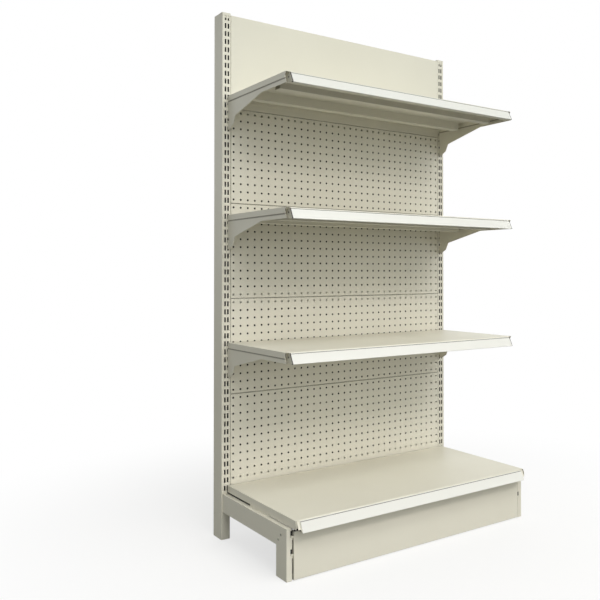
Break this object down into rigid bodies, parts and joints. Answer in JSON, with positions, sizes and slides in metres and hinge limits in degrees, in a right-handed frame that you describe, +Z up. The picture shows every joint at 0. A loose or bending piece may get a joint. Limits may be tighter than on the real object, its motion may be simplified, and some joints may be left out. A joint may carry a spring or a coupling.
{
  "type": "gondola shelving unit",
  "caption": "Free-standing single-sided gondola shelf: slotted uprights, perforated back panels, header, plain rear panels, hooked shelves with price strips, base deck and kick plate.",
  "frame": {"origin": "on the floor, at the middle of the unit's outline seen from above", "axes": "+X along the bay to the shopper's right, -Y towards the shopper, +Z up"},
  "size_m": [0.9444, 0.5, 1.6764],
  "materials": {
    "powder_coat": "fine-textured cream powder coat on pressed steel sheet",
    "strip_plastic": "smooth off-white extruded plastic",
    "cap_plastic": "cream moulded plastic",
    "zinc_plate": "bright zinc plating"
  },
  "bodies": {
    "frame": {"left_upright": "powder_coat", "left_upright_cap": "cap_plastic", "left_base_beam": "powder_coat", "left_base_foot": "powder_coat", "left_rear_nut_plate": "zinc_plate", "left_front_nut_plate": "zinc_plate", "right_upright": "powder_coat", "right_upright_cap": "cap_plastic", "right_base_beam": "powder_coat", "right_base_foot": "powder_coat", "right_rear_nut_plate": "zinc_plate", "right_front_nut_plate": "zinc_plate", "bottom_rail": "powder_coat", "center_rail": "powder_coat", "top_rail": "powder_coat", "peg_panel_1": "powder_coat", "peg_panel_2": "powder_coat", "peg_panel_3": "powder_coat", "peg_panel_4": "powder_coat", "header_panel": "powder_coat", "rear_panel_1": "powder_coat", "rear_panel_2": "powder_coat", "rear_panel_3": "powder_coat", "base_rivets": "powder_coat"},
    "left_rear_leveller": {"left_rear_leveller": "zinc_plate"},
    "left_front_leveller": {"left_front_leveller": "zinc_plate"},
    "right_rear_leveller": {"right_rear_leveller": "zinc_plate"},
    "right_front_leveller": {"right_front_leveller": "zinc_plate"},
    "left_bracket_1": {"left_shelf_bracket_1": "powder_coat"},
    "right_bracket_1": {"right_shelf_bracket_1": "powder_coat"},
    "shelf_1": {"shelf_pan_1": "powder_coat", "shelf_front_stiffener_1": "powder_coat", "shelf_rear_stiffener_1": "powder_coat", "shelf_price_strip_1": "strip_plastic"},
    "left_bracket_2": {"left_shelf_bracket_2": "powder_coat"},
    "right_bracket_2": {"right_shelf_bracket_2": "powder_coat"},
    "shelf_2": {"shelf_pan_2": "powder_coat", "shelf_front_stiffener_2": "powder_coat", "shelf_rear_stiffener_2": "powder_coat", "shelf_price_strip_2": "strip_plastic"},
    "left_bracket_3": {"left_shelf_bracket_3": "powder_coat"},
    "right_bracket_3": {"right_shelf_bracket_3": "powder_coat"},
    "shelf_3": {"shelf_pan_3": "powder_coat", "shelf_front_stiffener_3": "powder_coat", "shelf_rear_stiffener_3": "powder_coat", "shelf_price_strip_3": "strip_plastic"},
    "deck": {"base_deck": "powder_coat", "deck_front_stiffener": "powder_coat", "deck_rear_stiffener": "powder_coat", "deck_price_strip": "strip_plastic"},
    "kick": {"kick_plate": "powder_coat"}
  },
  "joints": [
    {"name": "left_bracket_1_unhook", "type": "slide", "parent": "frame", "child": "left_bracket_1", "axis": [0, 0, 1], "range_m": [0, 0.007]},
    {"name": "right_bracket_1_unhook", "type": "slide", "parent": "frame", "child": "right_bracket_1", "axis": [0, 0, 1], "range_m": [0, 0.007]},
    {"name": "shelf_1_lift", "type": "slide", "parent": "left_bracket_1", "child": "shelf_1", "axis": [0, 0, 1], "range_m": [0, 0.05]},
    {"name": "left_bracket_2_unhook", "type": "slide", "parent": "frame", "child": "left_bracket_2", "axis": [0, 0, 1], "range_m": [0, 0.007]},
    {"name": "right_bracket_2_unhook", "type": "slide", "parent": "frame", "child": "right_bracket_2", "axis": [0, 0, 1], "range_m": [0, 0.007]},
    {"name": "shelf_2_lift", "type": "slide", "parent": "left_bracket_2", "child": "shelf_2", "axis": [0, 0, 1], "range_m": [0, 0.05]},
    {"name": "left_bracket_3_unhook", "type": "slide", "parent": "frame", "child": "left_bracket_3", "axis": [0, 0, 1], "range_m": [0, 0.007]},
    {"name": "right_bracket_3_unhook", "type": "slide", "parent": "frame", "child": "right_bracket_3", "axis": [0, 0, 1], "range_m": [0, 0.007]},
    {"name": "shelf_3_lift", "type": "slide", "parent": "left_bracket_3", "child": "shelf_3", "axis": [0, 0, 1], "range_m": [0, 0.05]},
    {"name": "deck_lift", "type": "slide", "parent": "frame", "child": "deck", "axis": [0, 0, 1], "range_m": [0, 0.08]},
    {"name": "kick_plate_lift", "type": "slide", "parent": "frame", "child": "kick", "axis": [0, 0, 1], "range_m": [0, 0.01]},
    {"name": "left_rear_leveller_turn", "type": "hinge", "parent": "frame", "child": "left_rear_leveller", "pos_m": [-0.4572, 0.22, 0], "axis": [0, 0, 1], "continuous": true},
    {"name": "left_front_leveller_turn", "type": "hinge", "parent": "frame", "child": "left_front_leveller", "pos_m": [-0.4581, -0.181, 0], "axis": [0, 0, 1], "continuous": true},
    {"name": "right_rear_leveller_turn", "type": "hinge", "parent": "frame", "child": "right_rear_leveller", "pos_m": [0.4572, 0.22, 0], "axis": [0, 0, 1], "continuous": true},
    {"name": "right_front_leveller_turn", "type": "hinge", "parent": "frame", "child": "right_front_leveller", "pos_m": [0.4581, -0.181, 0], "axis": [0, 0, 1], "continuous": true}
  ],
  "couplings": [
    {"joint": "right_bracket_1_unhook", "follows": "left_bracket_1_unhook", "ratio": 1},
    {"joint": "right_bracket_2_unhook", "follows": "left_bracket_2_unhook", "ratio": 1},
    {"joint": "right_bracket_3_unhook", "follows": "left_bracket_3_unhook", "ratio": 1}
  ]
}
